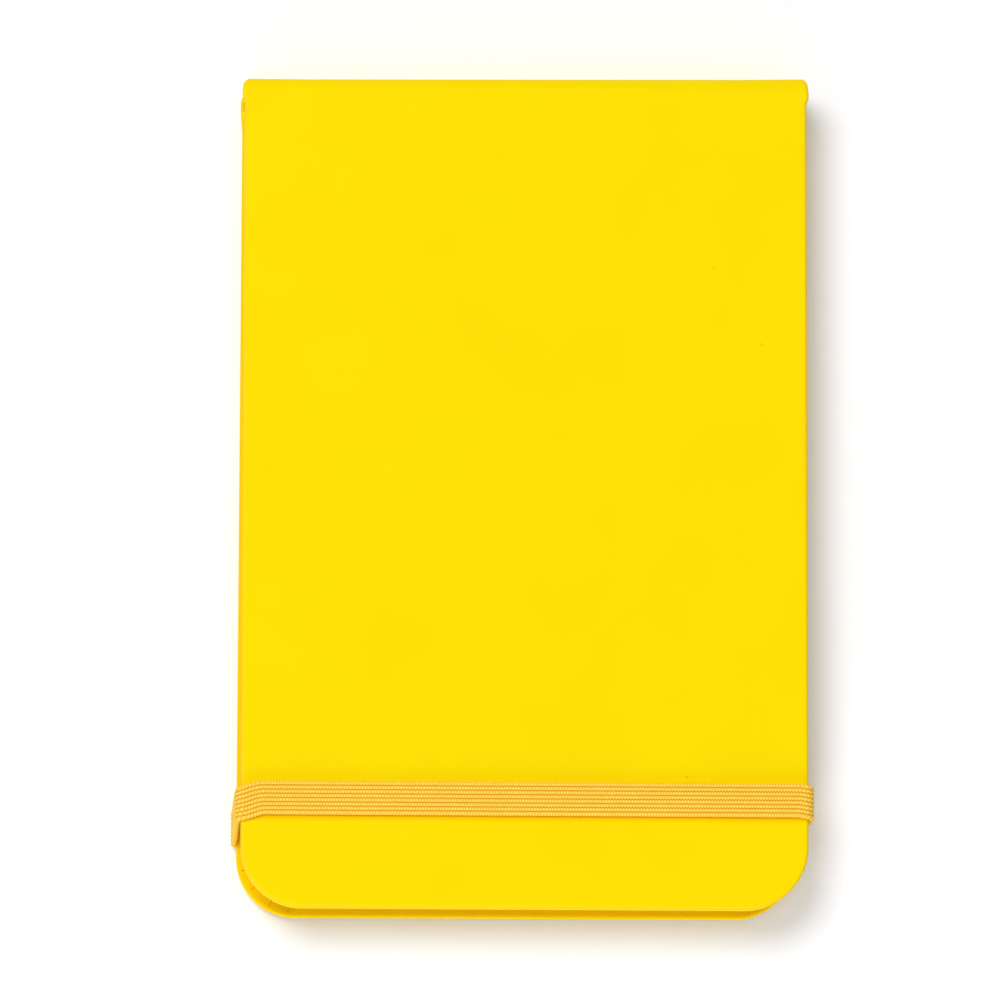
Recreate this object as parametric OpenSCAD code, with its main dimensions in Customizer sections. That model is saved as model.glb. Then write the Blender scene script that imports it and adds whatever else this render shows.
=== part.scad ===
// A pocket notebook with hard covers, bound along its head and held shut by a flat elastic strap.
// It lies on its back cover. X runs across the covers, Y towards the spine and Z up through the pages,
// with the origin under the middle of the pad. All sizes are in millimetres.

/* [Covers] */
// Width of each cover
cover_w = 100; // [80:1:130]
// Length from the loose edge to the outside of the spine
cover_l = 149; // [120:1:200]
// Radius of the two loose corners
corner_r = 10.5; // [5:0.5:16]
// Radius of the two corners at the spine
head_r = 1; // [0.6:0.1:2]
// Thickness of the board inside each cover
board_t = 1.5; // [1:0.1:3]
// Thickness of the covering sheet
sheet_t = 0.35; // [0.2:0.05:0.5]
// Rounding along the covers' edges
edge_r = 0.6; // [0.4:0.1:0.8]
// Width of covering that is turned in over the inside of each board
turn_in = 12; // [8:0.5:16]
// Number of pleats in the turned-in covering at each loose corner
pleat_count = 4; // [2:1:6]
// Length of a pleat's crease, from the rounded edge inwards
pleat_l = 5; // [3.5:0.5:6]
// Width of the crease
pleat_w = 0.25; // [0.15:0.05:0.4]
// Depth of the crease
pleat_d = 0.15; // [0.05:0.05:0.15]

/* [Spine] */
// Radius of the two shoulders of the spine
shoulder_r = 2.2; // [1.8:0.1:3.5]
// Bare strip of covering between each board and the fold beside the spine
joint_w = 2.6; // [1.5:0.1:5]
// Thickness of the card that lines the spine
liner_t = 0.5; // [0.3:0.1:0.7]
// Clearance on each side of the front cover's fold line
fold_gap = 0.15; // [0.15:0.05:0.3]

/* [Pages] */
// Thickness of the block of pages
block_t = 8; // [4:0.1:20]
// Distance that the pages stand back from the covers' edges
square_w = 3; // [2:0.5:4.5]
// Thickness of an endpaper
endpaper_t = 0.15; // [0.1:0.05:0.25]
// Slack between the two leaves of each endpaper when the notebook is shut
page_gap = 0.1; // [0.05:0.05:0.3]
// Thickness of the cloth that lines the bound edge of the pages
lining_t = 0.4; // [0.2:0.1:0.8]

/* [Elastic strap] */
// Width of the strap
strap_w = 6; // [4:0.5:10]
// Thickness of the strap over its cords
strap_t = 0.95; // [0.8:0.05:1.2]
// Number of cords that lie side by side in the strap
cord_count = 8; // [7:1:12]
// Depth of the grooves between the cords
groove_d = 0.16; // [0.1:0.02:0.3]
// Clearance between the strap and the covers
strap_gap = 0.05; // [0.05:0.05:0.2]
// Distance from the loose edge to the middle of the strap across the front
strap_inset = 19.5; // [16:1:60]
// How much nearer to the loose edge the strap crosses the back
strap_drop = 3; // [0:0.5:6]
// Distance from a side edge to the bend where the strap enters its slot
slot_inset = 13; // [8:1:25]
// Inner radius of that bend
slot_bend = 0.3; // [0.2:0.05:0.6]
// Clearance round the strap in its slot
slot_gap = 0.15; // [0.1:0.05:0.2]
// Length of the glued tail inside the back cover
tail_l = 12; // [6:1:15]
// Thickness of the tail where it is pressed into the board
tail_t = 0.5; // [0.3:0.1:0.8]

/* [Hidden] */
$fn = 64;
// Length by which a cutting shape runs past the face that it cuts
past = 1;

// Half width, loose edge and outer face of the spine
side_x = cover_w / 2;
foot_y = -cover_l / 2;
spine_y = cover_l / 2;
// The fold beside the spine, and the end of each board before it
fold_y = spine_y - shoulder_r;
board_y = fold_y - joint_w;
// Half width of the pages and endpapers
leaf_x = side_x - square_w;

// Heights within one cover, from its outer face, and the spine's thickness at its turned-in ends
board_in = sheet_t + board_t;
cover_t = board_t + 2 * sheet_t;
lined_t = liner_t + 2 * sheet_t;

// Heights through the whole pad
back_z = strap_t + strap_gap;
pasted_t = cover_t + endpaper_t;
leaf_z = pasted_t + page_gap;
block_z = back_z + leaf_z + endpaper_t;
block_top = block_z + block_t;
top_z = block_top + endpaper_t + leaf_z;
mid_z = (back_z + top_z) / 2;

// The strap's places and the radius of its middle round an edge of the covers
front_strap_y = foot_y + strap_inset;
back_strap_y = front_strap_y - strap_drop;
strap_side_x = side_x + strap_gap + strap_t / 2;
edge_bend_x = side_x - edge_r;
edge_bend_r = edge_r + strap_gap + strap_t / 2;
slot_x = side_x - slot_inset;
slot_bend_z = strap_t + slot_bend;
leg_x = slot_x - slot_bend - strap_t / 2;
tail_x = leg_x - strap_t / 2 - tail_l;
// How much slimmer the slanted side runs are than the bends that they join
side_slim = 0.02;
// Where the flat crest of a rib starts and ends, as shares of the distance from cord to cord
crest_start = 0.25;
crest_end = 0.75;

// Smallest radii left where a corner of a plan or the mouth of a slot is moved inwards
least_corner_r = 0.5;
least_mouth_r = 0.05;
// Rounding along the sides of the bare strip beside the fold, a little under half its thickness
strip_edge_r = 0.9 * sheet_t;

// Colours
cover_yellow = [1, 0.89, 0.02];
strap_orange = [0.98, 0.76, 0.23];
paper_ivory = [0.96, 0.94, 0.87];
board_grey = [0.62, 0.6, 0.56];
cloth_white = [0.9, 0.9, 0.86];

// Turns a back cover into a front cover, with its outer face up
module as_front() {
  translate([0, 0, 2 * mid_z]) mirror([0, 0, 1]) children();
}

module both_sides() {
  children();
  mirror([1, 0, 0]) children();
}

// Plan of a cover or leaf that stands back by inset, and ends at end_y with corners of end_r
module plan(inset, end_y, end_r = 0) {
  w = side_x - inset;
  foot = foot_y + inset;
  r = max(corner_r - inset, least_corner_r);
  translate([-w, foot + r]) square([2 * w, end_y - end_r - foot - r]);
  translate([r - w, foot]) square([2 * (w - r), r]);
  for (side = [-1, 1]) translate([side * (w - r), foot + r]) circle(r);
  if (end_r > 0) {
    translate([end_r - w, end_y - 2 * end_r]) square([2 * (w - end_r), 2 * end_r]);
    for (side = [-1, 1]) translate([side * (w - end_r), end_y - end_r]) circle(end_r);
  }
}

// Section of a cover from x = 0 out to its rounded edge
module rim_section(reach, t, r) {
  square([reach - r, t]);
  translate([0, r]) square([reach, t - 2 * r]);
  for (y = [r, t - r]) translate([reach - r, y]) circle(r);
}

// Straight length of a cover between y0 and y1, with both side edges rounded
module straight_slab(y0, y1, t, r) {
  translate([0, y1, 0]) rotate([90, 0, 0]) linear_extrude(y1 - y0) both_sides() rim_section(side_x, t, r);
}

// A whole cover, its outer face at z = 0, with rounded edges and loose corners
module rounded_cover(end_y) {
  centre_x = side_x - corner_r;
  centre_y = foot_y + corner_r;
  straight_slab(centre_y, end_y, cover_t, edge_r);
  translate([centre_x, centre_y, 0]) rotate([90, 0, -90]) linear_extrude(2 * centre_x) {
    rim_section(corner_r, cover_t, edge_r);
  }
  both_sides() translate([centre_x, centre_y, 0]) rotate([0, 0, -90]) rotate_extrude(angle = 90) {
    rim_section(corner_r, cover_t, edge_r);
  }
}

module board_blank() {
  translate([0, 0, sheet_t]) linear_extrude(board_t) plan(sheet_t, board_y);
}

// Creases between the pleats, fanned round each loose corner on the inside of the cover
module pleat_creases() {
  spread = 90 / pleat_count;
  both_sides() translate([side_x - corner_r, foot_y + corner_r, cover_t - pleat_d]) {
    for (i = [0:pleat_count - 1]) rotate([0, 0, -(i + 0.5) * spread]) {
      translate([corner_r - pleat_l, -pleat_w / 2, 0]) cube([pleat_l + past, pleat_w, pleat_d + past]);
    }
  }
}

// Outer form of one cover with its pleats, and of the bare strip that runs on to end_y
module pleated_form(end_y) {
  difference() {
    union() {
      rounded_cover(board_y + sheet_t);
      straight_slab(board_y, end_y, 2 * sheet_t, strip_edge_r);
    }
    pleat_creases();
  }
}

// Covering glued round one board and turned in, with the bare strip beside it
module turned_covering(end_y) {
  window_x = side_x - turn_in;
  window_y = foot_y + turn_in;
  difference() {
    pleated_form(end_y);
    board_blank();
    translate([-window_x, window_y, sheet_t]) cube([2 * window_x, end_y + past - window_y, cover_t]);
  }
}

// Space over the inside of a cover, held off the glued surfaces by gap
module over_inside(end_y, gap, top) {
  window_x = side_x - turn_in - gap;
  window_y = foot_y + turn_in + gap;
  joint_x = leaf_x + (gap > 0 ? past : 0);
  joint_y = board_y + sheet_t + gap;
  translate([-window_x, window_y, board_in + gap]) {
    cube([2 * window_x, end_y - window_y, top - board_in - gap]);
  }
  translate([-window_x, board_y + gap, sheet_t + gap]) {
    cube([2 * window_x, end_y - board_y - gap, top - sheet_t - gap]);
  }
  translate([-joint_x, joint_y, 2 * sheet_t + gap]) {
    cube([2 * joint_x, end_y - joint_y, top - 2 * sheet_t - gap]);
  }
}

// Half of an endpaper, pasted over the board, its turned-in rim and the bare strip beside it
module pasted_leaf(end_y) {
  difference() {
    union() {
      over_inside(end_y, 0, pasted_t);
      translate([0, 0, cover_t]) linear_extrude(endpaper_t) plan(square_w, end_y);
    }
    over_inside(end_y + past, endpaper_t, cover_t + past);
  }
}

// Section of the hollow spine in the Y-Z plane, filled, with its faces moved in by inset.
// Its lower face starts by lead before the fold.
module spine_form(inset, lead) {
  r = shoulder_r - inset;
  for (z = [back_z + shoulder_r, top_z - shoulder_r]) translate([fold_y, z]) circle(r);
  translate([fold_y, back_z + shoulder_r]) square([r, top_z - back_z - 2 * shoulder_r]);
  if (lead > 0) translate([fold_y - lead, back_z + inset]) square([lead, mid_z - back_z - inset]);
}

// One layer of the spine's wall, between two depths, from x0 to x1
module spine_layer(x0, x1, outer, inner, lead = 0) {
  back_cut = shoulder_r + past;
  translate([x0, 0, 0]) rotate([90, 0, 90]) linear_extrude(x1 - x0) difference() {
    spine_form(outer, lead);
    spine_form(inner, lead);
    translate([fold_y - back_cut - lead, back_z - past]) square([back_cut, top_z - back_z + 2 * past]);
    translate([fold_y - back_cut, mid_z]) square([back_cut + fold_gap, top_z - mid_z + past]);
  }
}

module spine_covering() {
  difference() {
    intersection() {
      union() {
        spine_layer(-side_x, side_x, 0, sheet_t, joint_w / 2);
        both_sides() spine_layer(side_x - turn_in, side_x, 0, lined_t);
      }
      linear_extrude(top_z + past) plan(0, spine_y, head_r);
    }
    spine_liner_form();
  }
}

module spine_liner_form() {
  intersection() {
    spine_layer(sheet_t - side_x, side_x - sheet_t, sheet_t, sheet_t + liner_t);
    linear_extrude(top_z + past) plan(sheet_t, spine_y - sheet_t, head_r - sheet_t);
  }
}

// Slot through the back cover, widened by a curved mouth where the strap bends into it
module slot_cut() {
  wide = strap_w + 2 * slot_gap;
  long = strap_t + 2 * slot_gap;
  mouth_r = max(slot_bend - slot_gap, least_mouth_r);
  translate([leg_x - long / 2, back_strap_y - wide / 2, back_z - past]) cube([long, wide, past + board_in]);
  translate([slot_x, back_strap_y + wide / 2, slot_bend_z]) rotate([90, 0, 0]) {
    rotate([0, 0, 180]) rotate_extrude(angle = 90) translate([mouth_r, 0]) {
      square([slot_bend + strap_t + slot_gap - mouth_r, wide]);
    }
  }
}

// Shallow bed where the strap's tail is pressed into the inside of the board
module tail_bed() {
  wide = strap_w + 2 * slot_gap;
  long = leg_x + strap_t / 2 - tail_x + 2 * slot_gap;
  translate([tail_x - slot_gap, back_strap_y - wide / 2, back_z + board_in - tail_t]) {
    cube([long, wide, cover_t]);
  }
}

// Section of the strap, with a flat-topped rib for each cord and a groove between neighbours.
// Squeeze draws the section in across the strap, and slim takes a little off its thickness.
module strap_section(squeeze = 1, slim = 0) {
  pitch = strap_w / cord_count;
  crest = strap_t / 2 - slim;
  groove = crest - groove_d;
  end = strap_w / 2 * squeeze;
  ribs = [
    for (i = [0:cord_count - 1]) for (step = [[0, groove], [crest_start, crest], [crest_end, crest]])
      [(i + step[0]) * pitch * squeeze - end, step[1]]
  ];
  polygon([for (p = ribs) p, [end, groove], for (p = ribs) -p, [-end, -groove]]);
}

// Quarter turn of the strap about a line along Y, from a start angle in the X-Z plane
module strap_bend(x, y, z, r, start) {
  translate([x, y, z]) rotate([90, 0, 0]) rotate([0, 0, start]) rotate_extrude(angle = 90) {
    translate([r, 0]) rotate(90) strap_section();
  }
}

// Level run of the strap along X
module strap_run(x0, x1, y, z) {
  translate([x0, y, z]) rotate([90, 0, 90]) linear_extrude(x1 - x0) strap_section();
}

// Run of the strap down a side, slanted towards the loose edge. It is slimmer than the bends by a hair,
// so that its ends are held inside them.
module strap_side() {
  high = top_z - edge_r + side_slim;
  low = back_z + edge_r - side_slim;
  drop = high - low;
  slant = atan(strap_drop / drop);
  squeeze = cos(slant) * (1 - 2 * side_slim / strap_w);
  intersection() {
    translate([strap_side_x, (front_strap_y + back_strap_y) / 2, (high + low) / 2]) rotate([-slant, 0, 0]) {
      linear_extrude(2 * drop, center = true) rotate(90) strap_section(squeeze, side_slim);
    }
    translate([side_x, foot_y, low]) cube([2 * strap_t + strap_gap, cover_l, drop]);
  }
}

module strap_leg() {
  translate([leg_x, back_strap_y, slot_bend_z]) linear_extrude(back_z + board_in - slot_bend_z) {
    rotate(90) strap_section();
  }
}

module strap_tail() {
  translate([tail_x, back_strap_y - strap_w / 2, back_z + board_in - tail_t]) {
    cube([leg_x + strap_t / 2 - tail_x, strap_w, tail_t]);
  }
}

module back_board() {
  color(board_grey) difference() {
    translate([0, 0, back_z]) board_blank();
    both_sides() slot_cut();
    both_sides() tail_bed();
  }
}

module case_covering() {
  color(cover_yellow) difference() {
    union() {
      translate([0, 0, back_z]) turned_covering(fold_y);
      spine_covering();
    }
    both_sides() slot_cut();
  }
}

module spine_liner() {
  color(board_grey) spine_liner_form();
}

module back_endpaper() {
  middle_x = side_x - turn_in;
  rise_y = fold_y - endpaper_t;
  color(paper_ivory) translate([0, 0, back_z]) {
    pasted_leaf(fold_y);
    translate([-leaf_x, rise_y, 2 * sheet_t]) cube([2 * leaf_x, endpaper_t, leaf_z - 2 * sheet_t]);
    translate([-middle_x, rise_y, sheet_t]) cube([2 * middle_x, endpaper_t, leaf_z - sheet_t]);
    translate([0, 0, leaf_z]) linear_extrude(endpaper_t) plan(square_w, fold_y);
  }
}

module page_block() {
  color(paper_ivory) translate([0, 0, block_z]) linear_extrude(block_t) plan(square_w, fold_y - lining_t);
}

module spine_lining() {
  color(cloth_white) translate([-leaf_x, fold_y - lining_t, block_z]) cube([2 * leaf_x, lining_t, block_t]);
}

module front_flyleaf() {
  end_y = fold_y + fold_gap;
  rise = top_z - block_top - 2 * sheet_t - endpaper_t;
  color(paper_ivory) translate([0, 0, block_top]) {
    linear_extrude(endpaper_t) plan(square_w, end_y);
    translate([-leaf_x, end_y - endpaper_t, 0]) cube([2 * leaf_x, endpaper_t, rise]);
  }
}

module elastic_strap() {
  color(strap_orange) {
    strap_run(-edge_bend_x, edge_bend_x, front_strap_y, top_z + strap_gap + strap_t / 2);
    both_sides() {
      strap_bend(edge_bend_x, front_strap_y, top_z - edge_r, edge_bend_r, 0);
      strap_side();
      strap_bend(edge_bend_x, back_strap_y, back_z + edge_r, edge_bend_r, -90);
      strap_run(slot_x, edge_bend_x, back_strap_y, strap_t / 2);
      strap_bend(slot_x, back_strap_y, slot_bend_z, slot_bend + strap_t / 2, 180);
      strap_leg();
      strap_tail();
    }
  }
}

module front_board() {
  color(board_grey) as_front() translate([0, 0, back_z]) board_blank();
}

module front_covering() {
  color(cover_yellow) as_front() translate([0, 0, back_z]) turned_covering(fold_y - fold_gap);
}

module front_pastedown() {
  color(paper_ivory) as_front() translate([0, 0, back_z]) pasted_leaf(fold_y - fold_gap);
}

back_board();
case_covering();
spine_liner();
back_endpaper();
page_block();
spine_lining();
front_flyleaf();
elastic_strap();
front_board();
front_covering();
front_pastedown();
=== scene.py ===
import math

import bmesh
import bpy
import numpy as np
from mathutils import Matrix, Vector


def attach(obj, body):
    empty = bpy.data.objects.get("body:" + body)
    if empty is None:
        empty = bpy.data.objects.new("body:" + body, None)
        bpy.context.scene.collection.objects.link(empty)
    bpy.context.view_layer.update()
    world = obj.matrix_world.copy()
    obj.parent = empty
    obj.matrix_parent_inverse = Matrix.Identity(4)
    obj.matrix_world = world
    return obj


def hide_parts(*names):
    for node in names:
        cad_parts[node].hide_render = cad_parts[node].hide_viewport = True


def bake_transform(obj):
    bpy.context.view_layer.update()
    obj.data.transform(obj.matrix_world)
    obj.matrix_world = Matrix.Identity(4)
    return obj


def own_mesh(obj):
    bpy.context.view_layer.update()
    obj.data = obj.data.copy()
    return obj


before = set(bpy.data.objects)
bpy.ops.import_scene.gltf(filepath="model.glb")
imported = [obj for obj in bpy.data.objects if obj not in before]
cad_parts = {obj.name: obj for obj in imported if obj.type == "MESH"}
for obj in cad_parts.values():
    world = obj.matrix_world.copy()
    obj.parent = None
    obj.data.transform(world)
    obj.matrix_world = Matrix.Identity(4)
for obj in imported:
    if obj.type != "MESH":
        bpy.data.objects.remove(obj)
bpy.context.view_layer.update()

# The pieces are shaped in millimetres and brought to metres when they are finished.
metresPerMm = 0.001

notebook = {
    "halfWidth": 50.0,
    "foot": -74.5,       # loose edge of the covers
    "boardEnd": 70.05,   # where the wrapped board ends and the bare strip starts
    "fold": 72.3,        # line beside the spine where a cover turns
    "backFace": 1.0,     # outer face of the back cover
    "backInside": 3.2,
    "frontInside": 12.0,
    "frontFace": 14.2,
    "middle": 7.6,       # half way up the spine
    "cornerRadius": 10.5,
    "leafHalfWidth": 47.0,
    "leafFoot": -71.5,
    "strapY": -55.0,     # middle of the strap on the front
    "strapWidth": 6.0,
    "lean": 0.25,        # how far the front lies to the right, and the back to the left, of true
    "swing": 0.2,        # how much further they lean at the loose edge
    "swingStart": 70.0,
    "slide": 0.28,       # how far the loose edge of the front lies back, and that of the back forward
    "slideStart": -45.0,
    "frontBlunt": (0.15, 0.33),   # how much flatter than round its left and right corners are
    "backBlunt": (0.0, 0.75),
    "bluntReach": 0.8,   # share of the corner's radius over which it flattens
    "pagesReach": 4.2,   # half the height of the pages, which keep their corners
}


def smoothRise(value, start, end):
    # 0 before start and 1 after end, with a soft step between
    share = min(max((value - start) / (end - start), 0), 1)
    return share * share * (3 - 2 * share)


def deselectAll():
    if bpy.context.mode != "OBJECT":
        bpy.ops.object.mode_set(mode="OBJECT")
    bpy.ops.object.select_all(action="DESELECT")


def makeActive(piece):
    deselectAll()
    piece.select_set(True)
    bpy.context.view_layer.objects.active = piece


def addBlock(name, low, high):
    # a cube stretched between two corners, ready to be shaped
    deselectAll()
    bpy.ops.mesh.primitive_cube_add(size=1, location=[(a + b) / 2 for a, b in zip(low, high)])
    piece = bpy.context.object
    piece.name = name
    piece.data.name = name
    piece.scale = [b - a for a, b in zip(low, high)]
    bpy.ops.object.transform_apply(location=True, rotation=True, scale=True)
    return piece


def addPanel(name, low, high, height):
    # a flat plane between two corners, at one height
    deselectAll()
    middle = [(a + b) / 2 for a, b in zip(low, high)]
    bpy.ops.mesh.primitive_plane_add(size=1, location=(middle[0], middle[1], height))
    piece = bpy.context.object
    piece.name = name
    piece.data.name = name
    piece.scale = (high[0] - low[0], high[1] - low[1], 1)
    bpy.ops.object.transform_apply(location=True, rotation=True, scale=True)
    return piece


def pick(piece, kind, test):
    # in edit mode, selects the vertices, edges or faces that pass the test
    if bpy.context.mode != "EDIT_MESH":
        makeActive(piece)
        bpy.ops.object.mode_set(mode="EDIT")
    bpy.ops.mesh.select_mode(type=kind)
    bpy.ops.mesh.select_all(action="DESELECT")
    mesh = bmesh.from_edit_mesh(piece.data)
    mesh.normal_update()
    parts = {"VERT": mesh.verts, "EDGE": mesh.edges, "FACE": mesh.faces}[kind]
    chosen = [part for part in parts if test(part)]
    for part in chosen:
        part.select_set(True)
    mesh.select_flush_mode()
    bmesh.update_edit_mesh(piece.data)


def middleOf(part):
    # middle point of an edge or face
    points = [corner.co for corner in part.verts]
    return sum(points, Vector()) / len(points)


def near(a, b, reach=0.01):
    return abs(a - b) < reach


def bothAt(edge, axis, place):
    return near(edge.verts[0].co[axis], place) and near(edge.verts[1].co[axis], place)


def uprightAt(edge, axis, place):
    return bothAt(edge, axis, place) and not near(edge.verts[0].co.z, edge.verts[1].co.z)


def extrudeBy(x, y, z):
    bpy.ops.mesh.extrude_region_move(TRANSFORM_OT_translate={"value": (x, y, z)})


def ringCut(piece, axis, place):
    # a new ring of edges all round the piece, at one place along an axis
    pick(piece, "FACE", lambda face: True)
    point = [0, 0, 0]
    normal = [0, 0, 0]
    point[axis] = place
    normal[axis] = 1
    bpy.ops.mesh.bisect(plane_co=point, plane_no=normal, threshold=0.0005)


def moveVertices(piece, shift):
    # moves each vertex by what shift returns for its place
    if bpy.context.mode != "OBJECT":
        bpy.ops.object.mode_set(mode="OBJECT")
    for vertex in piece.data.vertices:
        vertex.co += Vector(shift(vertex.co))


def applyModifier(piece, kind, name, **settings):
    makeActive(piece)
    modifier = piece.modifiers.new(name, kind)
    for setting, value in settings.items():
        setattr(modifier, setting, value)
    bpy.ops.object.modifier_apply(modifier=modifier.name)


def setTones(piece, name, tones):
    # a value on each vertex, for the finishes
    layer = piece.data.attributes.new(name, "FLOAT", "POINT")
    layer.data.foreach_set("value", tones)


def facesOut(piece):
    pick(piece, "VERT", lambda vertex: True)
    bpy.ops.mesh.remove_doubles(threshold=0.0005)
    bpy.ops.mesh.normals_make_consistent(inside=False)
    bpy.ops.object.mode_set(mode="OBJECT")


def finishPiece(piece, smoothAngle=32):
    # smooth shading, then millimetres to metres
    makeActive(piece)
    bpy.ops.object.shade_smooth_by_angle(angle=math.radians(smoothAngle), keep_sharp_edges=True)
    piece.scale = (metresPerMm,) * 3
    bpy.ops.object.transform_apply(location=True, rotation=True, scale=True)
    deselectAll()


def leanOver(piece):
    # a shut notebook lies a little out of true: everything shifts with its height
    half = notebook["frontFace"] - notebook["middle"]
    centreX = notebook["halfWidth"] - notebook["cornerRadius"]
    centreY = notebook["foot"] + notebook["cornerRadius"]

    def blunt(place):
        # the pleats draw the loose corners in
        x, y = abs(place.x) - centreX, centreY - place.y
        if min(x, y) <= 0 or abs(place.z - notebook["middle"]) < notebook["pagesReach"]:
            return (0, 0)
        corners = notebook["frontBlunt"] if place.z > notebook["middle"] else notebook["backBlunt"]
        deep = corners[1 if place.x > 0 else 0] * math.sin(2 * math.atan2(y, x))
        distance = math.hypot(x, y)
        reach = notebook["bluntReach"] * notebook["cornerRadius"]
        share = deep * smoothRise(distance, 0, reach) / distance
        return (-math.copysign(x * share, place.x), y * share)

    def shift(place):
        height = (place.z - notebook["middle"]) / half
        across = notebook["lean"] + notebook["swing"] * smoothRise(
            place.y, notebook["swingStart"], notebook["foot"])
        along = notebook["slide"] * smoothRise(place.y, notebook["slideStart"], notebook["foot"])
        if height < 0 and place.x > 0:
            along *= 1 - place.x / notebook["halfWidth"] / 2
        bluntX, bluntY = blunt(place)
        return (across * height + bluntX, along * height + bluntY, 0)

    moveVertices(piece, shift)


# Covers and spine
case = {
    "thickness": 2.2,
    "cornerSteps": 22,
    "rimRadius": 0.6,
    "rimSteps": 5,
    "holdingLoop": 0.15,
    "sheet": 0.35,
    "stripThickness": 0.7,
    "turnIn": 12.0,
    "shoulderRadius": 2.2,
    "shoulderSteps": 12,
    "spineEndThickness": 1.2,
    "deepFrom": 30,         # degrees round the shoulder, where the spine has its full thickness
    "headCornerRadius": 1.0,
    "flare": 0.42,          # how much wider the front is beside the fold
    "flareRise": (70.0, 71.2),
    "flareLoss": (0.72, 0.45),   # share of it that is lost at the spine's left and right ends
    "flareFall": (71.6, 74.2),
    "bulge": 0.27,          # how much wider the back is beside the fold
    "bulgeLoops": (66.5, 68.5),
    "bulgeRise": (66.5, 70.2),
    "bulgeFall": (72.0, 73.2),
    "recess": 0.45,         # how much narrower the back is at the spine
    "recessRise": (72.5, 73.6),
    "spineRise": (3.2, 12.6),   # heights at which the back's form ends and the front's starts
    "headCornerY": (73.4, 74.5),    # where the spine's corners draw in, along and across
    "headCornerX": (48.6, 49.5),
    "headHollow": 0.25,     # how far the middle of the spine's edge lies behind its ends
    "headSkew": (-0.2, 0.45),   # how far its left and right ends lie behind or ahead of square
    "headRise": (72.6, 74.3),
    "pleatAngles": (14, 36, 61, 82),    # creases round a loose corner, in degrees from the side
    "pleatLength": 5.0,
    "pleatHalfAngle": 0.9,
    "pleatDepth": 0.22,
    "creaseFull": 1.2,      # from the cover's edge, where a crease is deepest
    "creaseFade": (1.1, 0.3),   # from the edge, where it fades again
    "creaseLoss": 0.8,
    # painted shade on the inside border of a cover
    "turnedShadeLevel": 0.45,
    "gutterShadow": 0.88,     # painted shadow at the ends of the gutter, beside the board
    "gutterEnd": 48.9,
    "gutterX": (49.0, 49.6),
    "gutterY": (70.1, 72.1),
    "rimBand": 0.8,         # width of the rounding round a cover, seen from above
    "edgeHighlightHeights": (0.1, 0.4, 0.65),    # above the outer face, where the painted highlight along the rounded edge is full, fades and ends
    "gutterEndHighlight": 0.7,         # painted highlight: how pale the covering is at the ends of the gutter
    "paleEndX": 49.5,
    "paleEndY": (70.1, 72.35),
    "strapShadowTone": 0.68,       # painted shadow of the strap, on the front along its foot side
    "strapShadowWidth": 1.2,
    "strapShadowUnder": 1.0,       # how far it goes on under the strap
    "strapShadowFade": 0.5,
    "slotX": (35.6, 36.85),
    "slotY": (-61.15, -54.85),
    "stripLoops": (70.2, 71.2, 72.0),
    "windowEnd": 72.05,
    "foldLoops": [72.15 + 0.0125 * step for step in range(25)],   # rings of edges that turn with the cover
    "stripClearance": 0.15,     # under the paper that crosses the fold
    "clearY": (72.1, 72.5),
    "clearHalfWidth": 40.0,
    "clearHeight": 0.3,
}


def buildCaseHalf(name, withSlots):
    # One cover with its half of the spine, lying on its outer face. The front one is turned over later.
    side = notebook["halfWidth"]
    foot = notebook["foot"]
    head = notebook["boardEnd"]
    low = notebook["backFace"]
    high = low + case["thickness"]
    fold = notebook["fold"]
    piece = addBlock(name, (-side, foot, low), (side, head, high))

    # the two loose corners, then the edges rounded over the board
    pick(piece, "EDGE", lambda edge: uprightAt(edge, 1, foot))
    bpy.ops.mesh.bevel(offset=notebook["cornerRadius"], segments=case["cornerSteps"], affect="EDGES")
    pick(piece, "EDGE",
         lambda edge: not bothAt(edge, 1, head) and (bothAt(edge, 2, low) or bothAt(edge, 2, high)))
    bpy.ops.mesh.bevel(offset=case["rimRadius"], segments=case["rimSteps"], affect="EDGES")
    pick(piece, "FACE", lambda face: abs(face.normal.z) > 0.999)
    bpy.ops.mesh.inset(thickness=case["holdingLoop"], use_individual=True, use_boundary=True)

    # the bare strip beside the board, then the shoulder and half of the spine
    ringCut(piece, 2, low + case["stripThickness"])
    for turn in (-1, 1):
        ringCut(piece, 0, turn * (side - case["rimRadius"] - case["holdingLoop"]))
        ringCut(piece, 0, turn * (side - case["turnIn"]))
    pick(piece, "FACE",
         lambda face: face.normal.y > 0.99 and middleOf(face).z < low + case["stripThickness"])
    reached = head
    for stop in list(case["stripLoops"]) + [y for y in case["foldLoops"] if y < fold + 0.001]:
        extrudeBy(0, stop - reached, 0)
        reached = stop
    bpy.ops.mesh.spin(steps=case["shoulderSteps"], angle=math.radians(-90), center=(0, fold, high),
                      axis=(1, 0, 0))
    extrudeBy(0, 0, notebook["middle"] - high)

    # the recess inside the turned-in border, where the paper lies on the board
    windowX = side - case["turnIn"]
    windowY = foot + case["turnIn"]
    ringCut(piece, 1, windowY)

    def inWindow(face):
        middle = middleOf(face)
        inside = abs(middle.x) < windowX and windowY < middle.y < case["windowEnd"]
        level = face.normal.z > 0.9 and middle.z > low + case["stripThickness"] - 0.01
        upright = face.normal.y > 0.9 and middle.z > low + case["stripThickness"]
        return inside and (level or upright)

    pick(piece, "FACE", inWindow)
    bpy.ops.mesh.extrude_region_shrink_fatten(
        TRANSFORM_OT_shrink_fatten={"value": -case["sheet"], "use_even_offset": True})

    foldPleats(piece, low, high)
    if withSlots:
        for place in case["slotY"]:
            ringCut(piece, 1, place)
        for turn in (-1, 1):
            for place in case["slotX"]:
                ringCut(piece, 0, turn * place)

        def inSlot(face):
            middle = middleOf(face)
            across = case["slotX"][0] < abs(middle.x) < case["slotX"][1]
            along = case["slotY"][0] < middle.y < case["slotY"][1]
            return across and along and face.normal.z < -0.9 and middle.z < low + 0.01

        pick(piece, "FACE", inSlot)
        extrudeBy(0, 0, case["sheet"])
        bpy.ops.mesh.delete(type="FACE")
    bpy.ops.object.mode_set(mode="OBJECT")
    thickenSpine(piece, fold, high)
    return piece


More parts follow.
